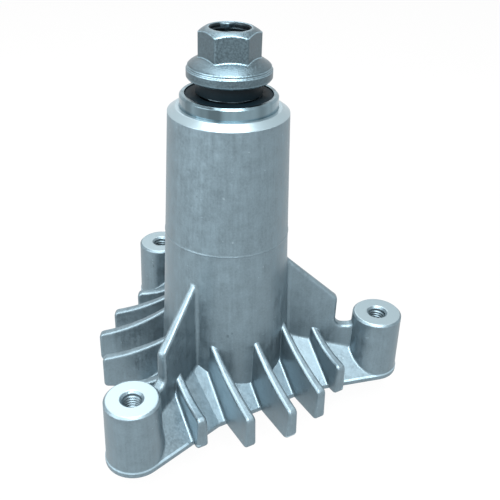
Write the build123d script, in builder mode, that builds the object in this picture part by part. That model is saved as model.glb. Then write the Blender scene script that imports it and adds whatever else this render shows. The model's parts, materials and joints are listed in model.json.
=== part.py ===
"""Mower deck spindle: a finned die-cast housing with a blade shaft on two ball bearings.

Units are millimetres.  +Z runs up the spindle axis and z = 0 is the plane of the three boss tops,
which bear against the underside of the deck.  One boss lies on +X, the others 120 degrees apart.
"""
import os
from math import cos, pi, radians, sin, sqrt, tan

from build123d import *

os.makedirs("parts", exist_ok=True)

# Screw bosses
BOSS_COUNT = 3
BOLT_SPACING = 125.0            # straight from one screw hole to the next
BOLT_RADIUS = BOLT_SPACING / (2 * sin(pi / BOSS_COUNT))
BOSS_HEIGHT = 31.4              # from the foot plane to the deck plane
BOSS_TOP_RADIUS = 11.5
BOSS_DRAFT = 1.1                # degrees
BOSS_CHAMFER = 0.9
BOSS_FOOT_RADIUS = 12.5
BOSS_FOOT_HEIGHT = 2.0
BOSS_FLARE = 0.9                # rise of the foot rim into the side
BOSS_FILLET = 1.0
SCREW_RADIUS = 4.0              # tapped for an 8 mm deck screw
SCREW_MOUTH_RADIUS = 5.0
FOOT_Z = -BOSS_HEIGHT

# Barrel
BARREL_TOP_Z = 100.4
BARREL_TOP_RADIUS = 24.9
BARREL_DRAFT = 2.25             # degrees, widening towards the foot
BARREL_LAND_RADIUS = 21.7       # flat land round the bearing seat
BARREL_CHAMFER_HEIGHT = 2.2
CORE_RADIUS = 17.4              # bore between the bearing seats
FLASH_Z = 44.8                  # where the two halves of the die met
FLASH_HEIGHT = 0.5
FLASH_DEPTH = 0.2
HUB_FOOT_RADIUS = 25.4          # lower hub, seen from below
HUB_DRAFT = 2.0
HUB_HEIGHT = 20.0               # above the foot, ends inside the barrel

# Skirt: three sloping panels that carry the bosses
PANEL_REACH = 38.7              # axis to the straight edge of a panel
PANEL_EDGE = 2.0                # upright edge along the outline
PANEL_SLOPE = 39.5              # degrees
PANEL_WALL = 3.2
ARM_TAPER = 15.0                # each side of an arm against its centre line, degrees

# Gussets between the barrel and the bosses
GUSSET_RIDGE = 3.2              # thickness where the ridge meets the barrel
GUSSET_DRAFT = 1.5
GUSSET_ROUND = 1.4
GUSSET_FILLET = 2.0             # against the barrel and the panels
GUSSET_TOP_HEIGHT = 60.3        # above the foot, where the ridge meets the barrel
GUSSET_TOP_RADIUS = 28.0
GUSSET_SLOPE = 40.1
GUSSET_NOSE_RADIUS = 52.3       # upright drop in front of the boss
GUSSET_NOSE_ROUND = 3.0
GUSSET_LEDGE_HEIGHT = 24.5      # above the foot
GUSSET_LEDGE_ROUND = 4.0
GUSSET_RISE_INSET = 1.0         # upright end of the ledge inside the boss
GUSSET_RISE_HEIGHT = 5.5
GUSSET_RISE_ROUND = 3.5
GUSSET_RISE_CORNER = 1.0
WEB_CLEARANCE = 1.5             # webs stop this far above the foot plane

# Fins
FIN_PITCH = 18.0
FINS_EACH_SIDE = 2              # of the middle fin of a panel
FIN_TIP_RADIUS = 58.8           # tips lie on this circle about the axis
FIN_TIP_HEIGHT = 15.8           # above the foot
FIN_ROOT_RADIUS = 27.3          # where the ridge of a fin meets the barrel
FIN_ROOT_HEIGHT = 33.6
FIN_SAG = 3.0                   # hollow of the ridge below its straight chord
FIN_FOOT_THICKNESS = 5.5
FIN_DRAFT = 2.3
FIN_ROUND = 1.2
FIN_FILLET = 1.2                # against the panels
FIN_TIP_ROUND = 2.6
FIN_TOE_ROUND = 1.8
MIDDLE_FIN_EXTRA = 1.6          # the middle fin of a panel stands out past the circle
MIDDLE_FIN_TOE_ROUND = 3.4
FIN_GUSSET_START = 20.0         # along the panel, for the fins that start at a gusset
FIN_GUSSET_HEIGHT = 26.2
FIN_BURY = 4.0                  # run of a fin inside the barrel

# Ball bearings, two alike
BEARING_RADIUS = 20.0
BEARING_WIDTH = 12.0
BEARING_BORE_RADIUS = 7.9375
BEARING_EDGE = 0.8
BEARING_PROUD = 5.2             # upper bearing above the barrel's land
BEARING_SUNK = 3.0              # lower bearing above the foot plane
BALL_COUNT = 8
BALL_RADIUS = 3.3735
BALL_CIRCLE_RADIUS = 14.25
BALL_CLEARANCE = 0.1
INNER_SHOULDER_RADIUS = 12.0
OUTER_SHOULDER_RADIUS = 16.6
SEAL_THICKNESS = 1.2
SEAL_RECESS = 0.4
SEAL_GROOVE_DEPTH = 1.4
SEAL_LIP_CLEARANCE = 0.15
SEAL_DISH = 0.3                 # drop of the outer edge below the face
SEAL_BEVEL = 0.6
SEAL_LIP_DROP = 0.6
SEAL_LIP_BEVEL = 1.2
CAGE_SHEET = 0.7
CAGE_INNER_RADIUS = 12.9
CAGE_OUTER_RADIUS = 15.7
CAGE_CLEARANCE = 0.12
RIVET_RADIUS = 0.55
RIVET_HEAD_RADIUS = 0.95
RIVET_HEAD_HEIGHT = 0.4

# Spacer tube, dust collar and nut
SPACER_RADIUS = 10.6
SPACER_BORE_CLEARANCE = 0.15
COLLAR_RADIUS = 13.5
COLLAR_HEIGHT = 6.2
COLLAR_EDGE = 0.6
COLLAR_FOOT_RADIUS = 11.4       # bears on the inner ring and clears the seal
NUT_FLATS = 21.9
NUT_CORNER_ROUND = 1.2
NUT_FLANGE_RADIUS = 17.2
NUT_SEAT_BEVEL = 0.5            # width of the bevel under the flange
NUT_SEAT_BEVEL_TOP = 0.7        # heights above the seat of the nut
NUT_GROOVE_HEIGHT = 4.2
NUT_FLANGE_RIM = 5.0
NUT_CONE_TOP = 8.7
NUT_CORNER_TOP = 17.5
NUT_HEIGHT = 19.5
NUT_GROOVE_DEPTH = 0.5
NUT_TIER_STEP = 0.55            # upper tier of the rim inside the lower
NUT_RIM_BEVEL = 0.6
NUT_CONE_BULGE = 0.3
NUT_TOP_RADIUS = 9.4            # where the corner chamfer would meet the top
NUT_TOP_ROUND = 2.0
NUT_MOUTH_RADIUS = 8.4
NUT_MOUTH_DEPTH = 0.8
NUT_TURN = 3.75                 # degrees from +X to a corner

# Shaft
SHAFT_RADIUS = BEARING_BORE_RADIUS
SHAFT_RECESS = 3.6              # end of the thread below the top of the nut
SHAFT_CHAMFER = 1.0
NECK_RADIUS = 11.4              # bears on the lower inner ring
BLADE_SEAT_DROP = 10.0          # blade seat below the foot plane
SHOULDER_RADIUS = 14.0
SHOULDER_HEIGHT = 5.0
PILOT_HEIGHT = 6.4
PILOT_POINTS = 5
PILOT_TIP_RADIUS = 11.0
PILOT_ROOT_RADIUS = 8.2
PILOT_ROUND = 0.8
BLADE_BOLT_RADIUS = 4.35
BLADE_BOLT_DEPTH = 24.0
BLADE_BOLT_MOUTH = 0.8

# Tolerances for picking edges and faces
NEAR = 0.01
ON_BARREL = 0.05
ALONG = 0.2                     # sideways part of an edge's direction
END_MARGIN = 1.0

# Levels worked out from the sizes above
UPPER_BEARING_TOP = BARREL_TOP_Z + BEARING_PROUD
UPPER_BEARING_Z = UPPER_BEARING_TOP - BEARING_WIDTH / 2
LOWER_BEARING_BOTTOM = FOOT_Z + BEARING_SUNK
LOWER_BEARING_Z = LOWER_BEARING_BOTTOM + BEARING_WIDTH / 2
NUT_SEAT_Z = UPPER_BEARING_TOP + COLLAR_HEIGHT
NUT_TOP_Z = NUT_SEAT_Z + NUT_HEIGHT
SHAFT_TOP_Z = NUT_TOP_Z - SHAFT_RECESS
BLADE_SEAT_Z = FOOT_Z - BLADE_SEAT_DROP
SHAFT_BOTTOM_Z = BLADE_SEAT_Z - PILOT_HEIGHT
BOSS_ANGLES = [360 / BOSS_COUNT * i for i in range(BOSS_COUNT)]
PANEL_ANGLES = [angle + 180 / BOSS_COUNT for angle in BOSS_ANGLES]


def save(piece, name):
    """Write one finished piece under its own name."""
    piece.label = name
    export_step(piece, f"parts/{name}.step")


def barrel_radius(height):
    """Outer radius of the drafted barrel at a height above the deck plane."""
    below_chamfer = BARREL_TOP_Z - BARREL_CHAMFER_HEIGHT - height
    return BARREL_TOP_RADIUS + below_chamfer * tan(radians(BARREL_DRAFT))


def barrel():
    """The drafted barrel down to the foot plane, before its bores are cut."""
    chamfer_z = BARREL_TOP_Z - BARREL_CHAMFER_HEIGHT
    with BuildPart() as body:
        with BuildSketch(Plane.XZ):
            Polygon(
                (0, FOOT_Z),
                (barrel_radius(FOOT_Z), FOOT_Z),
                (barrel_radius(FLASH_Z - FLASH_HEIGHT), FLASH_Z - FLASH_HEIGHT),
                (barrel_radius(FLASH_Z) + FLASH_DEPTH, FLASH_Z),
                (barrel_radius(FLASH_Z + FLASH_HEIGHT), FLASH_Z + FLASH_HEIGHT),
                (BARREL_TOP_RADIUS, chamfer_z),
                (BARREL_LAND_RADIUS, BARREL_TOP_Z),
                (0, BARREL_TOP_Z),
                align=None,
            )
        revolve(axis=Axis.Z)
    return body.part


def roof(inset, top_z):
    """Skirt as a hipped roof: a triangle and three tapering arms, each side on its own slope.

    inset moves every side inwards, and top_z is the height of the slopes at the outline.
    """
    full = top_z + PANEL_REACH
    tip_radius = BOSS_FOOT_RADIUS - inset
    arm_end = BOLT_RADIUS + tip_radius * sin(radians(ARM_TAPER))
    half_end = tip_radius * cos(radians(ARM_TAPER))
    half_root = half_end + arm_end * tan(radians(ARM_TAPER))
    reach = PANEL_REACH - inset
    with BuildPart() as centre:
        with BuildSketch(Plane.XY.offset(FOOT_Z)):
            RegularPolygon(reach, BOSS_COUNT, major_radius=False)
        extrude(amount=full - FOOT_Z)
        for angle in PANEL_ANGLES:
            outward = Vector(cos(radians(angle)), sin(radians(angle)), 0)
            split(bisect_by=slope_plane(outward * reach, outward, top_z), keep=Keep.BOTTOM)
    with BuildPart() as arm:
        with BuildSketch(Plane.XY.offset(FOOT_Z)):
            Polygon(
                (0, -half_root),
                (arm_end, -half_end),
                (arm_end, half_end),
                (0, half_root),
                align=None,
            )
        extrude(amount=full - FOOT_Z)
        for side in (-1, 1):
            turned = radians(90 - ARM_TAPER) * side
            outward = Vector(cos(turned), sin(turned), 0)
            edge = Vector(arm_end, side * half_end, 0)
            split(bisect_by=slope_plane(edge, outward, top_z), keep=Keep.BOTTOM)
    with BuildPart() as body:
        add(centre.part)
        for angle in BOSS_ANGLES:
            add(arm.part, rotation=(0, 0, angle))
    return body.part


def slope_plane(edge, outward, top_z):
    """Plane that rises inwards from an outline edge at the slope of the panels."""
    slope = radians(PANEL_SLOPE)
    normal = outward * sin(slope) + Vector(0, 0, cos(slope))
    return Plane(origin=(edge.X, edge.Y, top_z), z_dir=normal)


def gusset():
    """One radial web on +X, full section from the foot to the ridge, rounded along the ridge."""
    slope = tan(radians(GUSSET_SLOPE))
    ridge_z = FOOT_Z + GUSSET_TOP_HEIGHT
    ledge_z = FOOT_Z + GUSSET_LEDGE_HEIGHT
    nose_z = ridge_z - (GUSSET_NOSE_RADIUS - GUSSET_TOP_RADIUS) * slope
    start = BARREL_LAND_RADIUS
    rise = BOLT_RADIUS - BOSS_TOP_RADIUS + GUSSET_RISE_INSET
    half_ridge = GUSSET_RIDGE / 2 - GUSSET_TOP_RADIUS * tan(radians(GUSSET_DRAFT))
    half_foot = GUSSET_RIDGE / 2 + GUSSET_TOP_HEIGHT * tan(radians(GUSSET_DRAFT))
    with BuildPart() as body:
        with BuildSketch(Plane.YZ):
            Polygon(
                (-half_foot, FOOT_Z),
                (half_foot, FOOT_Z),
                (half_ridge, ridge_z + GUSSET_TOP_RADIUS),
                (-half_ridge, ridge_z + GUSSET_TOP_RADIUS),
                align=None,
            )
        extrude(amount=BOLT_RADIUS)
        with BuildSketch(Plane.XZ):
            with BuildLine():
                FilletPolyline(
                    (start, ridge_z + (GUSSET_TOP_RADIUS - start) * slope),
                    (GUSSET_NOSE_RADIUS, nose_z),
                    (GUSSET_NOSE_RADIUS, ledge_z),
                    (rise, ledge_z),
                    (rise, ledge_z + GUSSET_RISE_HEIGHT),
                    (BOLT_RADIUS, ledge_z + GUSSET_RISE_HEIGHT),
                    radius=(GUSSET_NOSE_ROUND, GUSSET_LEDGE_ROUND, GUSSET_RISE_ROUND, GUSSET_RISE_CORNER),
                )
                Polyline(
                    (BOLT_RADIUS, ledge_z + GUSSET_RISE_HEIGHT),
                    (BOLT_RADIUS, FOOT_Z + WEB_CLEARANCE),
                    (start, FOOT_Z + WEB_CLEARANCE),
                    (start, ridge_z + (GUSSET_TOP_RADIUS - start) * slope),
                )
            make_face()
        extrude(amount=BOLT_RADIUS, both=True, mode=Mode.INTERSECT)
        ridge = body.edges().filter_by(lambda edge: edge.center().Z > ledge_z - NEAR)
        ridge = ridge.filter_by(lambda edge: abs(edge.tangent_at(0.5).Y) < ALONG)
        ridge = ridge.filter_by(lambda edge: edge.center().X > start + END_MARGIN)
        ridge = ridge.filter_by(lambda edge: edge.center().X < BOLT_RADIUS - END_MARGIN)
        fillet(ridge, GUSSET_ROUND)
    return body.part


def fin(offset, start, start_height, bury):
    """One upright fin on +X, offset sideways, with a hollow ridge and rounded corners.

    bury is how far the fin runs on behind its visible start.
    """
    reach = sqrt(FIN_TIP_RADIUS**2 - offset**2)
    toe_round = FIN_TOE_ROUND
    if offset == 0:
        reach = FIN_TIP_RADIUS + MIDDLE_FIN_EXTRA
        toe_round = MIDDLE_FIN_TOE_ROUND
    tip_z = FOOT_Z + FIN_TIP_HEIGHT
    root_z = FOOT_Z + start_height
    inside = start - bury
    lift = (root_z - tip_z) / (reach - start) * (start - inside)
    half_foot = FIN_FOOT_THICKNESS / 2
    lean = tan(radians(FIN_DRAFT))
    tall = root_z + lift + FIN_TIP_HEIGHT
    half_top = half_foot - (tall - FOOT_Z) * lean
    middle = ((inside + reach) / 2, (root_z + lift + tip_z) / 2 - FIN_SAG)
    with BuildPart() as body:
        with BuildSketch(Plane.YZ):
            Polygon(
                (offset - half_foot, FOOT_Z),
                (offset + half_foot, FOOT_Z),
                (offset + half_top, tall),
                (offset - half_top, tall),
                align=None,
            )
        extrude(amount=reach + FIN_TIP_ROUND)
        with BuildSketch(Plane.XZ):
            with BuildLine():
                ThreePointArc((inside, root_z + lift), middle, (reach, tip_z))
                Polyline((reach, tip_z), (reach, FOOT_Z), (inside, FOOT_Z), (inside, root_z + lift))
            make_face()
        extrude(amount=FIN_TIP_RADIUS, both=True, mode=Mode.INTERSECT)
        for place, rounding in ((-1, FIN_TIP_ROUND), (0, toe_round)):
            tip = body.edges().group_by(Axis.X)[-1]
            tip = tip.filter_by(lambda edge: abs(edge.center().Y - offset) < NEAR)
            fillet(tip.sort_by(Axis.Z)[place], rounding)
        sides = body.edges().filter_by(lambda edge: abs(edge.tangent_at(0.5).Y) < ALONG)
        sides = sides.filter_by(lambda edge: edge.center().X > inside + END_MARGIN)
        sides = sides.filter_by(lambda edge: edge.center().Z > FOOT_Z + NEAR)
        fillet(sides, FIN_ROUND)
    return body.part


def panel_fins():
    """The fins of one panel, on +X: those near the middle start at the barrel, the rest at a gusset."""
    with BuildPart() as body:
        for place in range(-FINS_EACH_SIDE, FINS_EACH_SIDE + 1):
            offset = place * FIN_PITCH
            if abs(offset) < FIN_ROOT_RADIUS:
                start = sqrt(FIN_ROOT_RADIUS**2 - offset**2)
                add(fin(offset, start, FIN_ROOT_HEIGHT, FIN_BURY))
            else:
                add(fin(offset, FIN_GUSSET_START, FIN_GUSSET_HEIGHT, 0))
    return body.part


def boss():
    """One drafted boss with its foot rim, on +X."""
    base_radius = BOSS_TOP_RADIUS + BOSS_HEIGHT * tan(radians(BOSS_DRAFT))
    with BuildPart() as body:
        with BuildSketch(Plane.XZ):
            Polygon(
                (0, FOOT_Z),
                (BOSS_FOOT_RADIUS, FOOT_Z),
                (BOSS_FOOT_RADIUS, FOOT_Z + BOSS_FOOT_HEIGHT),
                (base_radius, FOOT_Z + BOSS_FOOT_HEIGHT + BOSS_FLARE),
                (BOSS_TOP_RADIUS, -BOSS_CHAMFER),
                (BOSS_TOP_RADIUS - BOSS_CHAMFER, 0),
                (0, 0),
                align=None,
            )
        revolve(axis=Axis.Z)
    return body.part


def creases(part, angles, offsets, half_width):
    """Edges where upright walls, at the given offsets from each direction, meet the slopes."""
    steep = cos(radians(PANEL_SLOPE))
    slopes = part.faces().filter_by(GeomType.PLANE)
    slopes = slopes.filter_by(lambda face: abs(face.normal_at(None).Z - steep) < NEAR)
    found = []
    for face in slopes:
        edges = face.edges().filter_by(GeomType.LINE)
        for edge in edges.filter_by(lambda edge: edge.center().Z > FOOT_Z + PANEL_EDGE + NEAR):
            for angle in angles:
                outward = Vector(cos(radians(angle)), sin(radians(angle)), 0)
                sideways = Vector(-outward.Y, outward.X, 0)
                aside = edge.center().dot(sideways)
                gap = min(abs(aside - offset) for offset in offsets)
                straight = abs(edge.tangent_at(0.5).dot(sideways)) < ALONG
                if straight and gap < half_width and edge.center().dot(outward) > 0:
                    found.append(edge)
    return found


def finned_skirt(skirt, fins):
    """Skirt with all the fins, filleted where they rise from the slopes."""
    offsets = [place * FIN_PITCH for place in range(-FINS_EACH_SIDE, FINS_EACH_SIDE + 1)]
    with BuildPart() as body:
        add(skirt)
        for angle in PANEL_ANGLES:
            add(fins, rotation=(0, 0, angle))
        fillet(creases(body.part, PANEL_ANGLES, offsets, FIN_FOOT_THICKNESS / 2), FIN_FILLET)
    return body.part


def webbed_skirt(skirt, web):
    """Skirt with the gussets, filleted where they rise from the slopes."""
    with BuildPart() as body:
        add(skirt)
        for angle in BOSS_ANGLES:
            add(web, rotation=(0, 0, angle))
        fillet(creases(body.part, BOSS_ANGLES, [0], GUSSET_RIDGE), GUSSET_FILLET)
    return body.part


def bossed_skirt(skirt, post):
    """Skirt with the bosses, filleted where they rise from the slopes."""
    rim_top = FOOT_Z + BOSS_FOOT_HEIGHT + BOSS_FLARE
    with BuildPart() as body:
        add(skirt)
        with PolarLocations(BOLT_RADIUS, BOSS_COUNT):
            add(post)
        around = body.edges().filter_by(GeomType.ELLIPSE)
        around = around.filter_by(lambda edge: rim_top + NEAR < edge.center().Z < -BOSS_CHAMFER - NEAR)
        fillet(around, BOSS_FILLET)
    return body.part


def webbed_barrel(web):
    """Barrel with the gussets, filleted where they meet it."""
    def is_crease(edge):
        ends = [edge.position_at(0), edge.position_at(1)]
        gaps = [abs(sqrt(end.X**2 + end.Y**2) - barrel_radius(end.Z)) for end in ends]
        return max(gaps) < ON_BARREL and abs(edge.tangent_at(0.5).Z) > ALONG

    with BuildPart() as body:
        add(barrel())
        for angle in BOSS_ANGLES:
            add(web, rotation=(0, 0, angle))
        below = body.edges().filter_by(lambda edge: edge.center().Z < FOOT_Z + GUSSET_TOP_HEIGHT + GUSSET_RIDGE)
        below = below.filter_by(lambda edge: edge.center().Z > FOOT_Z + WEB_CLEARANCE + END_MARGIN)
        fillet(below.filter_by(is_crease), GUSSET_FILLET)
    return body.part


def build_housing():
    """The whole casting."""
    skirt = roof(0, FOOT_Z + PANEL_EDGE)
    fins = panel_fins()
    web = gusset()
    post = boss()
    lower_seat_top = LOWER_BEARING_BOTTOM + BEARING_WIDTH
    with BuildPart() as housing:
        add(webbed_barrel(web))
        add(webbed_skirt(skirt, web))
        add(bossed_skirt(skirt, post))
        add(finned_skirt(skirt, fins))
        hollow = roof(PANEL_WALL, FOOT_Z + PANEL_EDGE - PANEL_WALL / 2)
        add(hollow, mode=Mode.SUBTRACT)
        with BuildSketch(Plane.XY.offset(FOOT_Z)):
            Circle(HUB_FOOT_RADIUS)
        extrude(amount=HUB_HEIGHT, taper=-HUB_DRAFT)
        for angle in BOSS_ANGLES:
            add(web, rotation=(0, 0, angle))
        for angle in PANEL_ANGLES:
            add(fins, rotation=(0, 0, angle))
        with PolarLocations(BOLT_RADIUS, BOSS_COUNT):
            add(post)
        with Locations(Plane.XY):
            with PolarLocations(BOLT_RADIUS, BOSS_COUNT):
                CounterSinkHole(SCREW_RADIUS, SCREW_MOUTH_RADIUS, counter_sink_angle=90)
        with BuildSketch(Plane.XY.offset(FOOT_Z)):
            Circle(CORE_RADIUS)
        extrude(amount=BARREL_TOP_Z - FOOT_Z, mode=Mode.SUBTRACT)
        with BuildSketch(Plane.XY.offset(FOOT_Z)):
            Circle(BEARING_RADIUS)
        extrude(amount=lower_seat_top - FOOT_Z, mode=Mode.SUBTRACT)
        with BuildSketch(Plane.XY.offset(UPPER_BEARING_TOP - BEARING_WIDTH)):
            Circle(BEARING_RADIUS)
        extrude(amount=BEARING_WIDTH, mode=Mode.SUBTRACT)
    return housing.part


def outer_ring():
    """Outer ring about the origin, with its ball groove and a seal groove at each face."""
    half = BEARING_WIDTH / 2
    groove = BALL_RADIUS + BALL_CLEARANCE
    seal_floor = half - SEAL_RECESS - SEAL_THICKNESS
    with BuildPart() as ring:
        with BuildSketch(Plane.XZ):
            with Locations((OUTER_SHOULDER_RADIUS, -half)):
                Rectangle(BEARING_RADIUS - OUTER_SHOULDER_RADIUS, BEARING_WIDTH, align=(Align.MIN, Align.MIN))
            with Locations((BALL_CIRCLE_RADIUS, 0)):
                Circle(groove, mode=Mode.SUBTRACT)
            for side in (-1, 1):
                with Locations((OUTER_SHOULDER_RADIUS, side * (seal_floor + half) / 2)):
                    Rectangle(2 * SEAL_GROOVE_DEPTH, half - seal_floor, mode=Mode.SUBTRACT)
        revolve(axis=Axis.Z)
        rims = ring.edges().filter_by(GeomType.CIRCLE)
        rims = rims.filter_by(lambda edge: abs(edge.radius - BEARING_RADIUS) < NEAR)
        chamfer(rims, BEARING_EDGE)
    return ring.part


def inner_ring():
    """Inner ring about the origin, with its ball groove."""
    half = BEARING_WIDTH / 2
    with BuildPart() as ring:
        with BuildSketch(Plane.XZ):
            with Locations((BEARING_BORE_RADIUS, -half)):
                Rectangle(
                    INNER_SHOULDER_RADIUS - BEARING_BORE_RADIUS, BEARING_WIDTH, align=(Align.MIN, Align.MIN)
                )
            with Locations((BALL_CIRCLE_RADIUS, 0)):
                Circle(BALL_RADIUS + BALL_CLEARANCE, mode=Mode.SUBTRACT)
        revolve(axis=Axis.Z)
    return ring.part


def seal(side):
    """Rubber seal seated in the outer ring, at the upper face for side 1 and the lower for -1."""
    outer = OUTER_SHOULDER_RADIUS + SEAL_GROOVE_DEPTH
    inner = INNER_SHOULDER_RADIUS + SEAL_LIP_CLEARANCE
    face = side * (BEARING_WIDTH / 2 - SEAL_RECESS)
    back = face - side * SEAL_THICKNESS
    with BuildPart() as ring:
        with BuildSketch(Plane.XZ):
            Polygon(
                (outer, back),
                (outer, face - side * SEAL_DISH),
                (outer - SEAL_BEVEL, face),
                (inner + SEAL_LIP_BEVEL, face),
                (inner, face - side * SEAL_LIP_DROP),
                (inner, back),
                align=None,
            )
        revolve(axis=Axis.Z)
    return ring.part


def balls():
    """All the balls of one bearing, as separate solids."""
    with BuildPart() as group:
        with PolarLocations(BALL_CIRCLE_RADIUS, BALL_COUNT):
            Sphere(BALL_RADIUS)
    return group.part


def cage_half(side):
    """Pressed half of a ribbon cage, above the ball plane for side 1 and below for -1."""
    pocket = BALL_RADIUS + CAGE_CLEARANCE
    with BuildPart() as ribbon:
        with BuildSketch():
            Circle(CAGE_OUTER_RADIUS)
            Circle(CAGE_INNER_RADIUS, mode=Mode.SUBTRACT)
        extrude(amount=side * CAGE_SHEET)
        with PolarLocations(BALL_CIRCLE_RADIUS, BALL_COUNT):
            Sphere(pocket + CAGE_SHEET)
        with BuildSketch():
            Circle(CAGE_OUTER_RADIUS)
            Circle(CAGE_INNER_RADIUS, mode=Mode.SUBTRACT)
        extrude(amount=side * (pocket + CAGE_SHEET), mode=Mode.INTERSECT)
        with PolarLocations(BALL_CIRCLE_RADIUS, BALL_COUNT):
            Sphere(pocket, mode=Mode.SUBTRACT)
        with BuildSketch():
            with PolarLocations(BALL_CIRCLE_RADIUS, BALL_COUNT, start_angle=180 / BALL_COUNT):
                Circle(RIVET_RADIUS)
        extrude(amount=side * CAGE_SHEET, mode=Mode.SUBTRACT)
    return ribbon.part


def rivets():
    """Headed rivets that hold two cage halves together."""
    with BuildPart() as group:
        with BuildSketch(Plane.XY.offset(-CAGE_SHEET)):
            with PolarLocations(BALL_CIRCLE_RADIUS, BALL_COUNT, start_angle=180 / BALL_COUNT):
                Circle(RIVET_RADIUS)
        extrude(amount=2 * CAGE_SHEET)
        for side in (-1, 1):
            with BuildSketch(Plane.XY.offset(side * CAGE_SHEET)):
                with PolarLocations(BALL_CIRCLE_RADIUS, BALL_COUNT, start_angle=180 / BALL_COUNT):
                    Circle(RIVET_HEAD_RADIUS)
            extrude(amount=side * RIVET_HEAD_HEIGHT)
    return group.part


def build_bearing(name, level):
    """Write the pieces of one bearing, its middle at the given height."""
    pieces = {
        "outer_ring": outer_ring(),
        "inner_ring": inner_ring(),
        "balls": balls(),
        "cage_top": cage_half(1),
        "cage_bottom": cage_half(-1),
        "cage_rivets": rivets(),
        "seal_top": seal(1),
        "seal_bottom": seal(-1),
    }
    for kind, piece in pieces.items():
        with BuildPart() as placed:
            with Locations((0, 0, level)):
                add(piece)
        save(placed.part, f"{name}_bearing_{kind}")


def build_shaft():
    """The turned and forged shaft, star pilot down, thread up."""
    with BuildPart() as shaft:
        with BuildSketch(Plane.XZ):
            Polygon(
                (0, BLADE_SEAT_Z),
                (SHOULDER_RADIUS, BLADE_SEAT_Z),
                (SHOULDER_RADIUS, BLADE_SEAT_Z + SHOULDER_HEIGHT),
                (NECK_RADIUS, BLADE_SEAT_Z + SHOULDER_HEIGHT + SHOULDER_RADIUS - NECK_RADIUS),
                (NECK_RADIUS, LOWER_BEARING_BOTTOM),
                (SHAFT_RADIUS, LOWER_BEARING_BOTTOM),
                (SHAFT_RADIUS, SHAFT_TOP_Z - SHAFT_CHAMFER),
                (SHAFT_RADIUS - SHAFT_CHAMFER, SHAFT_TOP_Z),
                (0, SHAFT_TOP_Z),
                align=None,
            )
        revolve(axis=Axis.Z)
        with BuildSketch(Plane.XY.offset(BLADE_SEAT_Z)) as star:
            points = []
            for index in range(2 * PILOT_POINTS):
                radius = PILOT_ROOT_RADIUS if index % 2 else PILOT_TIP_RADIUS
                turn = pi * index / PILOT_POINTS
                points.append((radius * cos(turn), radius * sin(turn)))
            Polygon(*points, align=None)
            fillet(star.vertices(), PILOT_ROUND)
        extrude(amount=-PILOT_HEIGHT)
        with Locations(Plane((0, 0, SHAFT_BOTTOM_Z), z_dir=(0, 0, -1))):
            CounterSinkHole(
                BLADE_BOLT_RADIUS,
                BLADE_BOLT_RADIUS + BLADE_BOLT_MOUTH,
                depth=BLADE_BOLT_DEPTH,
                counter_sink_angle=90,
            )
    return shaft.part


def build_spacer():
    """Tube that holds the two inner rings apart."""
    low = LOWER_BEARING_BOTTOM + BEARING_WIDTH
    high = UPPER_BEARING_TOP - BEARING_WIDTH
    with BuildPart() as tube:
        with BuildSketch(Plane.XY.offset(low)):
            Circle(SPACER_RADIUS)
            Circle(SHAFT_RADIUS + SPACER_BORE_CLEARANCE, mode=Mode.SUBTRACT)
        extrude(amount=high - low)
    return tube.part


def build_collar():
    """Black dust collar between the upper inner ring and the nut, relieved to clear the seal."""
    with BuildPart() as collar:
        with BuildSketch(Plane.XZ):
            Polygon(
                (SHAFT_RADIUS, UPPER_BEARING_TOP),
                (COLLAR_FOOT_RADIUS, UPPER_BEARING_TOP),
                (COLLAR_RADIUS, UPPER_BEARING_TOP + COLLAR_EDGE),
                (COLLAR_RADIUS, NUT_SEAT_Z - COLLAR_EDGE),
                (COLLAR_RADIUS - COLLAR_EDGE, NUT_SEAT_Z),
                (SHAFT_RADIUS, NUT_SEAT_Z),
                align=None,
            )
        revolve(axis=Axis.Z)
    return collar.part


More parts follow.
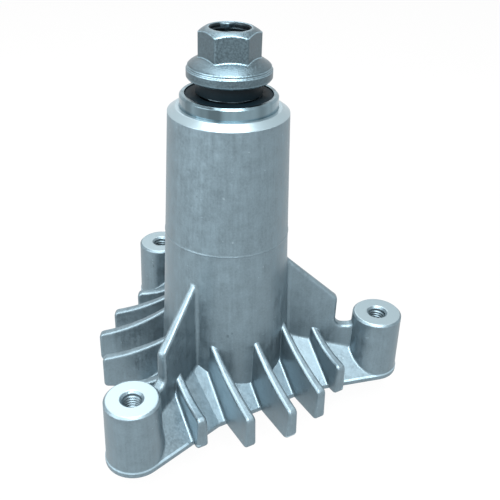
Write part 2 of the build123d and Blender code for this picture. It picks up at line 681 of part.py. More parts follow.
def build_nut():
    """Hexagon flange nut: cone below the hex, two-tier rim, chamfered top and threaded bore."""
    corner = NUT_FLATS / sqrt(3)
    flat = NUT_FLATS / 2
    clear = corner + NUT_GROOVE_DEPTH
    chamfer_slope = (NUT_HEIGHT - NUT_CORNER_TOP) / (corner - NUT_TOP_RADIUS)
    rim = NUT_FLANGE_RADIUS - NUT_TIER_STEP
    cone_foot = (rim - NUT_RIM_BEVEL, NUT_SEAT_Z + NUT_FLANGE_RIM + NUT_RIM_BEVEL)
    cone_top = (flat - NUT_GROOVE_DEPTH, NUT_SEAT_Z + NUT_CONE_TOP)
    cone_middle = ((cone_foot[0] + cone_top[0]) / 2 + NUT_CONE_BULGE, (cone_foot[1] + cone_top[1]) / 2)
    with BuildPart() as nut:
        with BuildSketch(Plane.XY.offset(NUT_SEAT_Z)) as hexagon:
            RegularPolygon(corner, 6, rotation=NUT_TURN)
            fillet(hexagon.vertices(), NUT_CORNER_ROUND)
        extrude(amount=NUT_HEIGHT)
        with BuildSketch(Plane.XZ) as turned:
            Polygon(
                (0, NUT_TOP_Z),
                (0, NUT_SEAT_Z),
                (clear, NUT_SEAT_Z),
                (clear, NUT_TOP_Z - (clear - NUT_TOP_RADIUS) * chamfer_slope),
                (NUT_TOP_RADIUS, NUT_TOP_Z),
                align=None,
            )
            fillet(turned.vertices().group_by(Axis.Y)[-1].sort_by(Axis.X)[-1], NUT_TOP_ROUND)
        revolve(axis=Axis.Z, mode=Mode.INTERSECT)
        with BuildSketch(Plane.XZ):
            with BuildLine():
                Polyline(
                    (0, NUT_SEAT_Z + NUT_CONE_TOP),
                    (0, NUT_SEAT_Z),
                    (NUT_FLANGE_RADIUS - NUT_SEAT_BEVEL, NUT_SEAT_Z),
                    (NUT_FLANGE_RADIUS, NUT_SEAT_Z + NUT_SEAT_BEVEL_TOP),
                    (NUT_FLANGE_RADIUS, NUT_SEAT_Z + NUT_GROOVE_HEIGHT - NUT_GROOVE_DEPTH),
                    (NUT_FLANGE_RADIUS - NUT_GROOVE_DEPTH, NUT_SEAT_Z + NUT_GROOVE_HEIGHT),
                    (rim, NUT_SEAT_Z + NUT_FLANGE_RIM),
                    cone_foot,
                )
                ThreePointArc(cone_foot, cone_middle, cone_top)
                Line(cone_top, (0, NUT_SEAT_Z + NUT_CONE_TOP))
            make_face()
        revolve(axis=Axis.Z)
        with BuildSketch(Plane.XZ):
            Polygon(
                (0, NUT_SEAT_Z),
                (SHAFT_RADIUS, NUT_SEAT_Z),
                (SHAFT_RADIUS, NUT_TOP_Z - NUT_MOUTH_DEPTH),
                (NUT_MOUTH_RADIUS, NUT_TOP_Z),
                (0, NUT_TOP_Z),
                align=None,
            )
        revolve(axis=Axis.Z, mode=Mode.SUBTRACT)
    return nut.part


save(build_housing(), "housing")
build_bearing("upper", UPPER_BEARING_Z)
build_bearing("lower", LOWER_BEARING_Z)
save(build_shaft(), "shaft")
save(build_spacer(), "bearing_spacer")
save(build_collar(), "dust_collar")
save(build_nut(), "flange_nut")
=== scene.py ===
import json
from math import cos, pi, radians, sin

import bmesh
import bpy
from bpy.props import FloatProperty, FloatVectorProperty, PointerProperty
from mathutils import Matrix, Vector


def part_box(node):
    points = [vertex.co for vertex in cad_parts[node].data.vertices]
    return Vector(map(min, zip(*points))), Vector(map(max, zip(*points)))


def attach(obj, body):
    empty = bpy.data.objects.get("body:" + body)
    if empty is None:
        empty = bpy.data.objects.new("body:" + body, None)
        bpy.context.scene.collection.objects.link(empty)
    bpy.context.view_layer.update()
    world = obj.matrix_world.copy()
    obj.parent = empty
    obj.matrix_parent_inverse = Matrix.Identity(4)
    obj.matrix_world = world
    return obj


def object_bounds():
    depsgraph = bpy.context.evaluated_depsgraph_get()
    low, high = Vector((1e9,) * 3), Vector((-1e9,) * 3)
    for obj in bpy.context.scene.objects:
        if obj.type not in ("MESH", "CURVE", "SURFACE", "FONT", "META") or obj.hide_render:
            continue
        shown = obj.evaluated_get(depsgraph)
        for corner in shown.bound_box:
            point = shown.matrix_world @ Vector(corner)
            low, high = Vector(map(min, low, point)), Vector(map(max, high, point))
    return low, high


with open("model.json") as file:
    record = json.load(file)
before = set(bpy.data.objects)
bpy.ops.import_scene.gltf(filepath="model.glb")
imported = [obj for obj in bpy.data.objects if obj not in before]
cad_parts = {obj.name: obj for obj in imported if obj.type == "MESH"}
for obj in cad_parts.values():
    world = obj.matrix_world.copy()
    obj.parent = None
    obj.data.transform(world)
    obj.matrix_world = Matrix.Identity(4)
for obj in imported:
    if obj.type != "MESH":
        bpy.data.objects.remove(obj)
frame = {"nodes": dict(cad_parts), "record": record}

bl_info = {
    "name": "Deck spindle finish",
    "version": (1, 0, 0),
    "blender": (4, 5, 0),
    "location": "3D View > Sidebar > Spindle",
    "description": "Dresses a mower deck spindle in its cast, ground and plated finishes",
    "category": "Object",
}

MM = 0.001
CAD_BOX = [list(corner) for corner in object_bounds()]
HOUSING_LOW, HOUSING_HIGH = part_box("housing")
NUT_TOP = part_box("flange_nut")[1][2]
SHAFT_LOW, SHAFT_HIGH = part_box("shaft")
MOUNTS = {mount["name"]: mount for mount in frame["record"]["mounts"]}
BOLT_CIRCLE = MOUNTS["deck_bolts"]["dims"]["pcd_mm"] / 2 * MM
SCREW_RADIUS = MOUNTS["deck_bolts"]["dims"]["hole_r_mm"] * MM
BLADE_BOLT_RADIUS = MOUNTS["blade_bolt"]["dims"]["r_mm"] * MM
NUT_BORE = 7.9375 * MM  # radius of the nut's plain bore, for a 5/8 in thread

# places on the casting that aren't as cast
TURNED_DEPTH = 2.25 * MM  # chamfer and land, below the top of the barrel
MILLED_LOW, MILLED_HIGH = -0.12 * MM, 0.5 * MM  # about the deck plane, which the boss tops lie in
BOSS_INSIDE = BOLT_CIRCLE - 16 * MM  # no boss comes nearer to the axis than this
FOOT_BAND_LOW, FOOT_BAND_HIGH = 1.95 * MM, 2.65 * MM  # rim round a boss's foot, above the casting's lowest plane
FOOT_BAND_INSIDE = 59.5 * MM  # the rim is kept to what lies farther out than this

# threads: the heights that each winds between, then the widths of a ridge as shares of its pitch
SCREW_THREAD = (HOUSING_LOW[2] + 0.3 * MM, -0.9 * MM)
BLADE_BOLT_THREAD = (SHAFT_LOW[2] + 0.9 * MM, SHAFT_LOW[2] + 23 * MM)
NUT_THREAD_TOP = NUT_TOP - 0.5 * MM
NUT_THREAD_OVERLAP = 0.9  # turns of it that start below the shaft's end
NUT_THREAD_STEPS = 96  # points in a turn, finer than in the other threads because it shows
THREAD_STEPS = 40
THREAD_BURY = 0.04 * MM  # the root lies this far inside the wall
ROOT_HALF_WIDTH = 0.44
CREST_HALF_WIDTH = 0.07
RUN_OUT = 0.4  # turns over which a ridge dies away at either end
SHARP_ANGLE = radians(32)

# crimps: direction about the axis, and share of the full press
CRIMPS = ((radians(-80), 0.8), (radians(98), 1.0))
CRIMP_HALF_WIDTH = radians(30)
CRIMP_TOP = NUT_TOP - 0.1 * MM
CRIMP_HEIGHT = 3.4 * MM
CRIMP_BACK = 0.55 * MM  # the back of the swelling lies this far outside the bore, inside the nut's wall
CRIMP_SEAM = 0.4 * MM  # and its front this far, where it runs out
CRIMP_STEPS = 20

# the camera that was fitted to the photograph: frame, place, axes, and the pixel that the lens points at
IMAGE_SIDE = 500
SENSOR_MM = 36.0
CAMERA_PLACE = Vector((2.1915, -277.307, 197.694)) * MM
CAMERA_RIGHT = Vector((0.999499, -0.009339, 0.030228))
CAMERA_DOWN = Vector((0.021247, -0.509777, -0.860044))
CAMERA_FORWARD = Vector((0.023441, 0.860256, -0.509323))
LENS_PIXEL = (248.10, 248.31)
NEAR_CLIP = 0.01

# the stage, in metres
FLOOR_SIZE = 3.0
PAPER = (0.85, 0.85, 0.85, 1)
WHITE = (1, 1, 1, 1)
BACKGROUND_SHARE = 0.96  # the rest is the paper itself, so the floor keeps the shadow
LAMP_SIDE = 0.5
LAMPS = (
    ("front_light", (0.05, -0.45, 0.62), "key"),
    ("overhead_light", (-0.03, 0.0, 0.8), "over"),
    ("left_light", (-0.5, -0.34, 0.32), "side"),
    ("back_light", (-0.1, 0.45, 0.62), "back"),
)


def linear(hex_text):
    """Linear red, green and blue of an sRGB hex colour."""
    channels = [int(hex_text[i:i + 2], 16) / 255 for i in (1, 3, 5)]
    return [c / 12.92 if c <= 0.04045 else ((c + 0.055) / 1.055) ** 2.4 for c in channels]


def colour_property(label, hex_text, note):
    """A colour that a user can change, given as sRGB hex."""
    colour = linear(hex_text)
    return FloatVectorProperty(name=label, description=note, subtype="COLOR", min=0, max=1, default=colour)


def length_property(label, millimetres, note):
    """A length that a user can change, given in millimetres."""
    return FloatProperty(name=label, description=note, default=millimetres * MM, min=0, unit="LENGTH")


def lamp_property(label, watts, note):
    """A lamp's power that a user can change, in watts."""
    return FloatProperty(name=label, description=note, default=watts, min=0, subtype="POWER")


class SpindleFinish(bpy.types.PropertyGroup):
    """Sizes and colours of the finishes."""

    casting: colour_property("Casting", "#71838c", "Die-cast aluminium as it leaves the tumbler")
    machined: colour_property("Machined aluminium", "#96a9b1", "Turned chamfer and milled boss tops")
    ground: colour_property("Ground steel", "#71868f", "Bearing rings")
    plated: colour_property("Plated steel", "#56676f", "Zinc plated nut")
    forged: colour_property("Forged steel", "#4e585d", "Shaft")
    rubber: colour_property("Rubber", "#04141b", "Bearing seals")
    collar: colour_property("Black steel", "#05151c", "Dust collar under the nut")
    grain: length_property("Casting grain", 0.5, "Size of the casting's grain")
    streak: length_property("Draw marks", 1.1, "Spacing of the upright marks that the die leaves")
    softening: length_property("Tumbled edge", 0.6, "Radius of an edge worn in the tumbler")


class SpindleThreads(bpy.types.PropertyGroup):
    """Sizes of the threads and of the nut's crimps."""

    screw_pitch: length_property("Screw pitch", 1.25, "Pitch of the three boss threads")
    screw_depth: length_property("Screw thread depth", 0.55, "Height of the boss threads")
    nut_pitch: length_property("Nut pitch", 1.41, "Pitch of the nut's thread")
    nut_depth: length_property("Nut thread depth", 0.7, "Height of the nut's thread")
    bolt_pitch: length_property("Blade bolt pitch", 1.06, "Pitch of the thread in the shaft's lower end")
    bolt_depth: length_property("Blade bolt thread depth", 0.45, "Height of that thread")
    crimp: length_property("Crimp", 2.6, "How far a crimp presses the nut's mouth inwards")


class SpindleStage(bpy.types.PropertyGroup):
    """Camera and light."""

    lens: FloatProperty(name="Lens", description="Focal length", default=51.563, min=1, unit="CAMERA")
    key: lamp_property("Front light", 9.5, "Power of the light high in front")
    over: lamp_property("Overhead light", 5.5, "Power of the overhead light")
    side: lamp_property("Left light", 3.8, "Power of the light on the left")
    back: lamp_property("Back light", 1.6, "Power of the light high behind")
    fill: FloatProperty(name="Surroundings", description="Strength of the surrounding light", default=0.3, min=0)


def add_node(tree, kind, settings=None, inputs=None, result=0):
    """Add a shader node, set its properties, set or link its inputs, and give back one of its outputs."""
    node = tree.nodes.new(kind)
    for name, value in (settings or {}).items():
        setattr(node, name, value)
    for name, value in (inputs or {}).items():
        if isinstance(value, bpy.types.NodeSocket):
            tree.links.new(value, node.inputs[name])
        else:
            node.inputs[name].default_value = value
    return node.outputs[result] if node.outputs else None


def new_material(name):
    """An empty node material, its tree, and the place of each point in metres."""
    material = bpy.data.materials.new(name)
    material.use_nodes = True
    tree = material.node_tree
    tree.nodes.clear()
    return material, tree, add_node(tree, "ShaderNodeTexCoord", result="Object")


def shade(colour, share=1.0):
    """A colour made darker or lighter, as the four numbers that a node takes."""
    return [min(1, channel * share) for channel in colour] + [1]


def patches(tree, point, size, detail, noise_range, out=(0.0, 1.0), draw=None):
    """Uneven patches about as wide as size, drawn out upright where draw is below 1."""
    if draw:
        point = add_node(tree, "ShaderNodeMapping", None, {"Vector": point, "Scale": (1, 1, draw)})
    raw = add_node(tree, "ShaderNodeTexNoise", None, {"Vector": point, "Scale": 1 / size, "Detail": detail})
    low, high = noise_range
    limits = {"Value": raw, "From Min": low, "From Max": high, "To Min": out[0], "To Max": out[1]}
    return add_node(tree, "ShaderNodeMapRange", None, limits)


def layered(tree, colour, *layers):
    """A colour with others laid over it, one after another, each by its own share."""
    for share, over in layers:
        colour = add_node(tree, "ShaderNodeMix", {"data_type": "RGBA"}, {0: share, 6: colour, 7: over}, 2)
    return colour


def reach_and_height(tree, point):
    """Distance from the spindle axis and height of each point."""
    split = add_node(tree, "ShaderNodeSeparateXYZ", None, {0: point}).node.outputs
    flat = add_node(tree, "ShaderNodeCombineXYZ", None, {0: split[0], 1: split[1]})
    reach = add_node(tree, "ShaderNodeVectorMath", {"operation": "LENGTH"}, {0: flat}, "Value")
    return reach, split[2]


def outer_band(tree, reach, height, inside, low, high):
    """1 where a surface is outside a radius and between two heights, and 0 elsewhere."""
    middle, half = (low + high) / 2, (high - low) / 2
    level = add_node(tree, "ShaderNodeMath", {"operation": "COMPARE"}, {0: height, 1: middle, 2: half})
    out = add_node(tree, "ShaderNodeMath", {"operation": "GREATER_THAN"}, {0: reach, 1: inside})
    return add_node(tree, "ShaderNodeMath", {"operation": "MULTIPLY"}, {0: level, 1: out})


def turning_marks(tree, point, spacing):
    """Fine rings about the spindle axis, as a lathe or grinder leaves them."""
    reach, height = reach_and_height(tree, point)
    path = add_node(tree, "ShaderNodeCombineXYZ", None, {0: reach, 2: height})
    return add_node(tree, "ShaderNodeTexNoise", None, {"Vector": path, "Scale": 1 / spacing, "Detail": 1.0})


def worn_and_highlit_edge(tree, radius):
    """The normal of a surface whose edges are rounded, and the share by which its edges and creases alike are
    lightened, partly as wear and partly as painted highlight.
    """
    edge = add_node(tree, "ShaderNodeBevel", {"samples": 8}, {"Radius": radius})
    flat = add_node(tree, "ShaderNodeNewGeometry", result="Normal")
    facing = add_node(tree, "ShaderNodeVectorMath", {"operation": "DOT_PRODUCT"}, {0: edge, 1: flat}, "Value")
    limits = {"Value": facing, "From Min": 0.995, "From Max": 0.93, "To Min": 0.0, "To Max": 0.6}
    return edge, add_node(tree, "ShaderNodeMapRange", None, limits)


def close_material(tree, look, relief, strength, depth, edge=None):
    """End a material in its relief, its surface shader and its output."""
    bump = {"Height": relief, "Strength": strength, "Distance": depth}
    if edge is not None:
        bump["Normal"] = edge
    look["Normal"] = add_node(tree, "ShaderNodeBump", None, bump)
    shader = add_node(tree, "ShaderNodeBsdfPrincipled", None, look)
    add_node(tree, "ShaderNodeOutputMaterial", None, {"Surface": shader})


def sees_background(tree):
    """1 for the rays that show the white background: from the camera, a reflection or a transmission."""
    share = add_node(tree, "ShaderNodeLightPath", result="Is Camera Ray")
    rays = share.node.outputs
    for name in ("Is Glossy Ray", "Is Transmission Ray"):
        share = add_node(tree, "ShaderNodeMath", {"operation": "MAXIMUM"}, {0: share, 1: rays[name]})
    return share


def cast_aluminium(finish):
    """Pressure die-cast aluminium, tumbled, and machined only where it seats.

    The eye sees a satin blue-grey with fine grain and upright draw marks, pale edges and creases
    that are partly tumbler wear and partly painted highlight, a lighter band round each boss's foot,
    a few dents and oil spots, and bright smooth metal on the chamfer and the boss tops.
    """
    material, tree, point = new_material("tumbled_die_cast_aluminium")
    reach, height = reach_and_height(tree, point)
    mottle = patches(tree, point, 5 * MM, 5.0, (0.34, 0.66))
    streaks = patches(tree, point, finish.streak, 2.0, (0.3, 0.7), draw=0.04)
    speckle = patches(tree, point, 0.9 * MM, 2.0, (0.3, 0.7))
    cloud = add_node(tree, "ShaderNodeMix", {"data_type": "FLOAT"}, {0: 0.45, 2: mottle, 3: streaks})
    cloud = add_node(tree, "ShaderNodeMix", {"data_type": "FLOAT"}, {0: 0.35, 2: cloud, 3: speckle})
    # edges and creases alike are lightened: tumbler wear on the edges, and painted highlight along both
    edge, wear_and_highlight = worn_and_highlit_edge(tree, finish.softening)
    # a band round each boss's foot is made lighter than the casting
    foot = HOUSING_LOW[2]
    foot_band = outer_band(tree, reach, height, FOOT_BAND_INSIDE, foot + FOOT_BAND_LOW, foot + FOOT_BAND_HIGH)
    foot_band = add_node(tree, "ShaderNodeMath", {"operation": "MULTIPLY"}, {0: foot_band, 1: 0.8})
    # knocks in the tumbler leave a few pale dents, and oil leaves a few dark spots
    dents = patches(tree, point, 2.3 * MM, 1.0, (0.755, 0.8), (0.0, 0.5))
    spots = patches(tree, point, 2.7 * MM, 1.0, (0.24, 0.19), (0.0, 0.5))
    # a lathe turned the chamfer and land on top of the barrel, and a mill faced the three bosses
    top = HOUSING_HIGH[2]
    turned = outer_band(tree, reach, height, 0, top - TURNED_DEPTH, top + TURNED_DEPTH)
    milled = outer_band(tree, reach, height, BOSS_INSIDE, MILLED_LOW, MILLED_HIGH)
    machined = add_node(tree, "ShaderNodeMath", {"operation": "MAXIMUM"}, {0: turned, 1: milled})
    colour = layered(
        tree,
        shade(finish.casting, 0.8),
        (cloud, shade(finish.casting, 1.2)),
        (wear_and_highlight, shade(finish.casting, 1.5)),
        (foot_band, shade(finish.casting, 2.2)),
        (dents, shade(finish.machined)),
        (spots, shade(finish.casting, 0.4)),
        (machined, shade(finish.machined)),
    )
    limits = {"Value": cloud, "From Min": 0.3, "From Max": 0.7, "To Min": 0.36, "To Max": 0.5}
    satin = add_node(tree, "ShaderNodeMapRange", None, limits)
    roughness = add_node(tree, "ShaderNodeMix", {"data_type": "FLOAT"}, {0: machined, 2: satin, 3: 0.3})

    # cast skin: grain on a gentle unevenness, less the pits, and none where it is machined;
    # a tumbled grain is finer than this one, which is drawn as coarse as it needs to show
    grain = {"Vector": point, "Scale": 1 / finish.grain, "Detail": 2.0}
    grain = add_node(tree, "ShaderNodeTexNoise", None, grain)
    uneven = {"Vector": point, "Scale": 1 / (5 * MM), "Detail": 2.0}
    uneven = add_node(tree, "ShaderNodeTexNoise", None, uneven)
    pits = patches(tree, point, 2.2 * MM, 1.0, (0.72, 0.8))
    relief = add_node(tree, "ShaderNodeMath", {"operation": "MULTIPLY"}, {0: grain, 1: 0.45})
    relief = add_node(tree, "ShaderNodeMath", {"operation": "MULTIPLY_ADD"}, {0: uneven, 1: 2.0, 2: relief})
    relief = add_node(tree, "ShaderNodeMath", {"operation": "SUBTRACT"}, {0: relief, 1: pits})
    cover = add_node(tree, "ShaderNodeMath", {"operation": "SUBTRACT"}, {0: 1.0, 1: machined})
    relief = add_node(tree, "ShaderNodeMath", {"operation": "MULTIPLY"}, {0: relief, 1: cover})
    look = {"Base Color": colour, "Metallic": 0.85, "Roughness": roughness}
    close_material(tree, look, relief, 0.5, 0.12 * MM, edge)
    return material


def ground_steel(finish):
    """Hardened bearing steel, ground and polished.

    The eye sees a glossy grey with fine rings, and upright lighter and darker bands of painted reflection.
    """
    material, tree, point = new_material("ground_bearing_steel")
    # the wheel's marks are too fine to show, so they are drawn at this spacing
    marks = turning_marks(tree, point, 0.35 * MM)
    # upright bands of painted reflection, lighter and darker round the ring; they also vary its roughness
    reflection_bands = patches(tree, point, 8 * MM, 2.0, (0.36, 0.64), draw=0.03)
    tone = layered(tree, shade(finish.ground, 0.62), (reflection_bands, shade(finish.ground, 1.4)))
    sheen = add_node(tree, "ShaderNodeMapRange", None, {"Value": reflection_bands, "To Min": 0.14, "To Max": 0.26})
    edge = add_node(tree, "ShaderNodeBevel", {"samples": 8}, {"Radius": 0.3 * MM})
    look = {"Base Color": tone, "Metallic": 1.0, "Roughness": sheen}
    close_material(tree, look, marks, 0.5, 0.01 * MM, edge)
    return material


def ringed_finish(name, colour, roughness, metallic, spacing, depth, specular=0.5):
    """A surface with rings about the axis, from a lathe or a turned mould, and a sheen that varies a little.

    Real rings are too fine to show, so they are drawn as coarse as they need to be.
    """
    material, tree, point = new_material(name)
    marks = turning_marks(tree, point, spacing)
    tone = layered(tree, shade(colour, 0.86), (marks, shade(colour, 1.1)))
    sheen = patches(tree, point, 4 * MM, 2.0, (0.3, 0.7), (roughness - 0.05, roughness + 0.07))
    look = {"Base Color": tone, "Metallic": metallic, "Roughness": sheen, "Specular IOR Level": specular}
    close_material(tree, look, marks, 0.5, depth)
    return material


def even_metal(name, colour, roughness):
    """A drawn, pressed, lapped, tapped or punched metal: an even grain and a sheen that varies a little.

    The real grain is too fine to show, so it is drawn as coarse as it needs to be.
    """
    material, tree, point = new_material(name)
    grain = {"Vector": point, "Scale": 1 / (0.6 * MM), "Detail": 2.0}
    grain = add_node(tree, "ShaderNodeTexNoise", None, grain)
    cloud = {"Vector": point, "Scale": 1 / (4 * MM), "Detail": 2.0}
    cloud = add_node(tree, "ShaderNodeTexNoise", None, cloud)
    tone = layered(tree, shade(colour, 0.88), (cloud, shade(colour, 1.1)))
    low, high = roughness - 0.05, roughness + 0.07
    sheen = {"Value": cloud, "From Min": 0.3, "From Max": 0.7, "To Min": low, "To Max": high}
    sheen = add_node(tree, "ShaderNodeMapRange", None, sheen)
    look = {"Base Color": tone, "Metallic": 1.0, "Roughness": sheen}
    close_material(tree, look, grain, 0.4, 0.01 * MM)
    return material


def plated_nut(finish):
    """Cold-forged steel under bright zinc.

    The eye sees a dark grey with a fine speckle, edges and creases lightened nearly white, partly as wear and
    partly as painted highlight, upright die marks round the flange's rim, and a bore painted near black as
    painted shade.
    """
    material, tree, point = new_material("zinc_plated_forged_steel")
    reach = reach_and_height(tree, point)[0]
    # zinc's own crystals are too fine to show, so the speckle is drawn this coarse
    cloud = patches(tree, point, 0.6 * MM, 2.0, (0.32, 0.68))
    upright = add_node(tree, "ShaderNodeMapping", None, {"Vector": point, "Scale": (1, 1, 0.08)})
    marks = {"Vector": upright, "Scale": 1 / (0.7 * MM), "Detail": 2.0}
    marks = add_node(tree, "ShaderNodeTexNoise", None, marks)
    # the die marks stand out on the flange's rim, and the bore is painted near black: painted shade inside the
    # hole
    rim = {"Value": reach, "From Min": 15.5 * MM, "From Max": 16.5 * MM, "To Min": 0.25, "To Max": 1.6}
    rim = add_node(tree, "ShaderNodeMapRange", None, rim)
    painted_bore_shade = {"Value": reach, "From Min": 8.5 * MM, "From Max": 8.2 * MM}
    painted_bore_shade = add_node(tree, "ShaderNodeMapRange", None, painted_bore_shade)
    # edges and creases alike are lightened nearly white: partly wear, partly painted highlight
    edge, wear_and_highlight = worn_and_highlit_edge(tree, 0.8 * MM)
    uneven = patches(tree, point, 0.5 * MM, 2.0, (0.35, 0.6), (0.6, 1.66))
    wear_and_highlight = add_node(tree, "ShaderNodeMath", {"operation": "MULTIPLY"}, {0: wear_and_highlight, 1: uneven})
    tone = layered(
        tree,
        shade(finish.plated, 0.78),
        (cloud, shade(finish.plated, 1.24)),
        (wear_and_highlight, shade(finish.plated, 4.5)),
        (painted_bore_shade, shade(finish.plated, 0.25)),
    )
    limits = {"Value": cloud, "From Min": 0.3, "From Max": 0.7, "To Min": 0.3, "To Max": 0.44}
    sheen = add_node(tree, "ShaderNodeMapRange", None, limits)
    relief = add_node(tree, "ShaderNodeMath", {"operation": "MULTIPLY"}, {0: marks, 1: rim})
    relief = add_node(tree, "ShaderNodeMath", {"operation": "MULTIPLY_ADD"}, {0: cloud, 1: 0.6, 2: relief})
    look = {"Base Color": tone, "Metallic": 0.95, "Roughness": sheen}
    close_material(tree, look, relief, 0.4, 0.12 * MM, edge)
    return material


def dress(node_name, material):
    """Give every slot of a CAD node one material, or a first slot where it has none."""
    piece = frame["nodes"][node_name]
    if not piece.material_slots:
        piece.data.materials.append(material)
    for slot in piece.material_slots:
        slot.material = material


def link_mesh(name, shape, material, body):
    """Turn a finished bmesh into a smooth piece that rides on a body."""
    mesh = bpy.data.meshes.new(name)
    bmesh.ops.recalc_face_normals(shape, faces=shape.faces)
    shape.to_mesh(mesh)
    shape.free()
    mesh.materials.append(material)
    for polygon in mesh.polygons:
        polygon.use_smooth = True
    mesh.set_sharp_from_angle(angle=SHARP_ANGLE)
    piece = bpy.data.objects.new(name, mesh)
    bpy.context.scene.collection.objects.link(piece)
    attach(piece, body)


def skin_rows(shape, rows):
    """Join rows of points, each one a closed section, into a solid with both ends closed."""
    for before, after in zip(rows, rows[1:]):
        for side in range(len(before)):
            other = (side + 1) % len(before)
            shape.faces.new((before[side], before[other], after[other], after[side]))
    shape.faces.new(rows[0])
    shape.faces.new(rows[-1])


def inner_thread(shape, centre, radius, depth, pitch, low, high, steps=THREAD_STEPS):
    """Add one V-shaped ridge that winds up the wall of a hole and runs out at both ends."""
    root, crest = radius + THREAD_BURY, radius - depth
    section = (
        (root, -ROOT_HALF_WIDTH),
        (crest, -CREST_HALF_WIDTH),
        (crest, CREST_HALF_WIDTH),
        (root, ROOT_HALF_WIDTH),
    )
    count = int(((high - low) / pitch - 1) * steps)
    rows = []
    for index in range(count + 1):
        turn = 2 * pi * index / steps
        height = low + pitch * (0.5 + index / steps)
        fade = min(1, index / (RUN_OUT * steps), (count - index) / (RUN_OUT * steps))
        row = []
        for reach, shift in section:
            reach = root - (root - reach) * fade
            place = (centre[0] + reach * cos(turn), centre[1] + reach * sin(turn), height + shift * pitch)
            row.append(shape.verts.new(place))
        rows.append(row)
    skin_rows(shape, rows)


def mouth_crimp(shape, direction, press):
    """Add one lens-shaped swelling where a punch has pressed the mouth of the nut inwards."""
    rows = []
    for across in range(CRIMP_STEPS + 1):
        share = across / CRIMP_STEPS * 2 - 1
        angle = direction + CRIMP_HALF_WIDTH * share
        swell = press * cos(share * pi / 2) ** 2
        section = []
        for down in range(CRIMP_STEPS // 2 + 1):
            fall = down / (CRIMP_STEPS // 2)
            # the punch leaves its swelling fullest a little below the mouth
            bulge = swell * min(1, 0.75 + 2 * fall) * cos(fall * pi / 2)
            section.append((NUT_BORE + CRIMP_SEAM - bulge, CRIMP_TOP - CRIMP_HEIGHT * fall))
        section += [(NUT_BORE + CRIMP_BACK, CRIMP_TOP - CRIMP_HEIGHT), (NUT_BORE + CRIMP_BACK, CRIMP_TOP)]
        places = [(reach * cos(angle), reach * sin(angle), height) for reach, height in section]
        rows.append([shape.verts.new(place) for place in places])
    skin_rows(shape, rows)


class SPINDLE_OT_casting(bpy.types.Operator):
    """Give the housing its cast and machined surfaces"""

    bl_idname = "spindle.casting"
    bl_label = "Dress the casting"

    def execute(self, context):
        dress("housing", cast_aluminium(context.scene.spindle_finish))
        return {"FINISHED"}


class SPINDLE_OT_screw_threads(bpy.types.Operator):
    """Cut the threads of the three boss holes"""

    bl_idname = "spindle.screw_threads"
    bl_label = "Thread the boss holes"

    def execute(self, context):
        finish = context.scene.spindle_finish
        threads = context.scene.spindle_threads
        # the tapped aluminium of the boss threads is given a darker grey than the casting
        tapped = even_metal("tapped_aluminium", [channel * 0.7 for channel in finish.casting], 0.4)
        for index in range(3):
            angle = 2 * pi * index / 3
            centre = (BOLT_CIRCLE * cos(angle), BOLT_CIRCLE * sin(angle))
            shape = bmesh.new()
            inner_thread(shape, centre, SCREW_RADIUS, threads.screw_depth, threads.screw_pitch, *SCREW_THREAD)
            link_mesh(f"boss_thread_{index + 1}", shape, tapped, "housing")
        return {"FINISHED"}


class SPINDLE_OT_bearings(bpy.types.Operator):
    """Give the bearings' rings, balls, cages and seals their finishes"""

    bl_idname = "spindle.bearings"
    bl_label = "Dress the bearings"

    def execute(self, context):
        finish = context.scene.spindle_finish
        ground = ground_steel(finish)
        # lapped balls are nearly mirrors, and pressed sheet is a soft even grey
        balls = even_metal("lapped_chrome_steel", finish.ground, 0.12)
        pressed = even_metal("pressed_sheet_steel", finish.plated, 0.4)
        # moulded rubber is a dull near-black that keeps the rings of its turned mould
        rubber = ringed_finish("moulded_nitrile_rubber", finish.rubber, 0.62, 0.0, 0.9 * MM, 0.03 * MM, 0.12)
        kinds = {
            "outer_ring": ground,
            "inner_ring": ground,
            "balls": balls,
            "cage_top": pressed,
            "cage_bottom": pressed,
            "cage_rivets": pressed,
            "seal_top": rubber,
            "seal_bottom": rubber,
        }
        for end in ("upper", "lower"):
            for kind, material in kinds.items():
                dress(f"{end}_bearing_{kind}", material)
        return {"FINISHED"}


class SPINDLE_OT_spindle(bpy.types.Operator):
    """Give the shaft, spacer and collar their finishes and thread the shaft's lower end"""

    bl_idname = "spindle.spindle"
    bl_label = "Dress the shaft"

    def execute(self, context):
        finish = context.scene.spindle_finish
        threads = context.scene.spindle_threads
        # a turned forging is a dark grey with clear tool rings
        turned = ringed_finish("turned_forged_steel", finish.forged, 0.35, 1.0, 0.6 * MM, 0.02 * MM)
        dress("shaft", turned)
        # cold drawing leaves a smooth dark grey
        dress("bearing_spacer", even_metal("drawn_steel_tube", finish.forged, 0.4))
        # black oxide hides the metal's gloss and shows faint turning rings
        oxide = ringed_finish("black_oxide_steel", finish.collar, 0.5, 0.0, 0.5 * MM, 0.01 * MM, 0.15)
        dress("dust_collar", oxide)
        shape = bmesh.new()
        depth, pitch = threads.bolt_depth, threads.bolt_pitch
        inner_thread(shape, (0, 0), BLADE_BOLT_RADIUS, depth, pitch, *BLADE_BOLT_THREAD)
        link_mesh("blade_bolt_thread", shape, turned, "spindle")
        return {"FINISHED"}


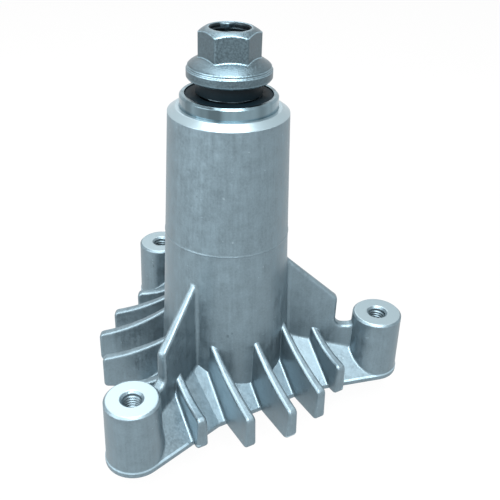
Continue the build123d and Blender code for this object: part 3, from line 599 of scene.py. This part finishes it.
class SPINDLE_OT_nut(bpy.types.Operator):
    """Give the nut its plating, its thread above the shaft's end and its two crimps"""

    bl_idname = "spindle.nut"
    bl_label = "Dress the nut"

    def execute(self, context):
        finish = context.scene.spindle_finish
        threads = context.scene.spindle_threads
        plated = plated_nut(finish)
        dress("flange_nut", plated)
        shape = bmesh.new()
        depth, pitch = threads.nut_depth, threads.nut_pitch
        low = SHAFT_HIGH[2] - pitch * NUT_THREAD_OVERLAP
        inner_thread(shape, (0, 0), NUT_BORE, depth, pitch, low, NUT_THREAD_TOP, NUT_THREAD_STEPS)
        link_mesh("nut_thread", shape, plated, "spindle")
        # the punch smears the zinc bright
        punched = even_metal("punched_zinc_plated_steel", [channel * 1.3 for channel in finish.plated], 0.36)
        shape = bmesh.new()
        for direction, share in CRIMPS:
            mouth_crimp(shape, direction, threads.crimp * share)
        link_mesh("nut_crimps", shape, punched, "spindle")
        return {"FINISHED"}


class SPINDLE_OT_stage(bpy.types.Operator):
    """Set the camera, the pale floor and the soft studio light"""

    bl_idname = "spindle.stage"
    bl_label = "Set the stage"

    def execute(self, context):
        scene = context.scene
        stage = scene.spindle_stage
        camera_data = bpy.data.cameras.new("photo_camera")
        camera_data.sensor_width = SENSOR_MM
        camera_data.lens = stage.lens
        camera_data.shift_x = (IMAGE_SIDE / 2 - LENS_PIXEL[0]) / IMAGE_SIDE
        camera_data.shift_y = (LENS_PIXEL[1] - IMAGE_SIDE / 2) / IMAGE_SIDE
        camera_data.clip_start = NEAR_CLIP
        camera = bpy.data.objects.new("photo_camera", camera_data)
        turn = Matrix((CAMERA_RIGHT, -CAMERA_DOWN, -CAMERA_FORWARD)).transposed().to_4x4()
        camera.matrix_world = Matrix.Translation(CAMERA_PLACE) @ turn
        scene.collection.objects.link(camera)
        scene.camera = camera

        mesh = bpy.data.meshes.new("pale_floor")
        shape = bmesh.new()
        bmesh.ops.create_grid(shape, x_segments=1, y_segments=1, size=FLOOR_SIZE)
        shape.to_mesh(mesh)
        shape.free()
        floor = bpy.data.objects.new("pale_floor", mesh)
        floor.location.z = CAD_BOX[0][2]
        scene.collection.objects.link(floor)
        # matt paper: plain white, with only the object's shadow on it
        material, tree = new_material("matt_white_paper")[:2]
        paper = add_node(tree, "ShaderNodeBsdfDiffuse", None, {"Color": PAPER})
        glow = add_node(tree, "ShaderNodeEmission", None, {"Color": WHITE, "Strength": 1.0})
        share = {0: sees_background(tree), 1: BACKGROUND_SHARE}
        share = add_node(tree, "ShaderNodeMath", {"operation": "MULTIPLY"}, share)
        mixed = add_node(tree, "ShaderNodeMixShader", None, {0: share, 1: paper, 2: glow})
        add_node(tree, "ShaderNodeOutputMaterial", None, {"Surface": mixed})
        mesh.materials.append(material)

        world = bpy.data.worlds.new("studio")
        world.use_nodes = True
        tree = world.node_tree
        tree.nodes.clear()
        level = {0: sees_background(tree), 2: stage.fill, 3: 1.0}
        level = add_node(tree, "ShaderNodeMix", {"data_type": "FLOAT"}, level)
        sky = add_node(tree, "ShaderNodeBackground", None, {"Color": WHITE, "Strength": level})
        add_node(tree, "ShaderNodeOutputWorld", None, {"Surface": sky})
        scene.world = world
        scene.view_settings.view_transform = "Standard"

        for name, place, power in LAMPS:
            lamp = bpy.data.lights.new(name, "AREA")
            lamp.size = LAMP_SIDE
            lamp.energy = getattr(stage, power)
            lamp_object = bpy.data.objects.new(name, lamp)
            lamp_object.location = place
            lamp_object.rotation_euler = Vector(place).to_track_quat("Z", "Y").to_euler()
            scene.collection.objects.link(lamp_object)
        return {"FINISHED"}


class SPINDLE_PT_panel(bpy.types.Panel):
    """Lists the sizes, the colours and the steps"""

    bl_idname = "SPINDLE_PT_panel"
    bl_label = "Deck spindle"
    bl_space_type = "VIEW_3D"
    bl_region_type = "UI"
    bl_category = "Spindle"

    def draw(self, context):
        layout = self.layout
        scene = context.scene
        for group in (scene.spindle_finish, scene.spindle_threads, scene.spindle_stage):
            for name in group.bl_rna.properties.keys():
                if name not in ("name", "rna_type"):
                    layout.prop(group, name)
        for operator in OPERATORS:
            layout.operator(operator.bl_idname)


OPERATORS = (
    SPINDLE_OT_stage,
    SPINDLE_OT_casting,
    SPINDLE_OT_screw_threads,
    SPINDLE_OT_bearings,
    SPINDLE_OT_spindle,
    SPINDLE_OT_nut,
)
CLASSES = (SpindleFinish, SpindleThreads, SpindleStage, SPINDLE_PT_panel) + OPERATORS


def register():
    """Add the classes and the groups of settings."""
    for kind in CLASSES:
        bpy.utils.register_class(kind)
    bpy.types.Scene.spindle_finish = PointerProperty(type=SpindleFinish)
    bpy.types.Scene.spindle_threads = PointerProperty(type=SpindleThreads)
    bpy.types.Scene.spindle_stage = PointerProperty(type=SpindleStage)


def unregister():
    """Take them away again."""
    del bpy.types.Scene.spindle_stage
    del bpy.types.Scene.spindle_threads
    del bpy.types.Scene.spindle_finish
    for kind in reversed(CLASSES):
        bpy.utils.unregister_class(kind)


def main():
    """Run every step in order."""
    register()
    for operator in OPERATORS:
        group, name = operator.bl_idname.split(".")
        getattr(getattr(bpy.ops, group), name)()


if __name__ == "__main__":
    main()
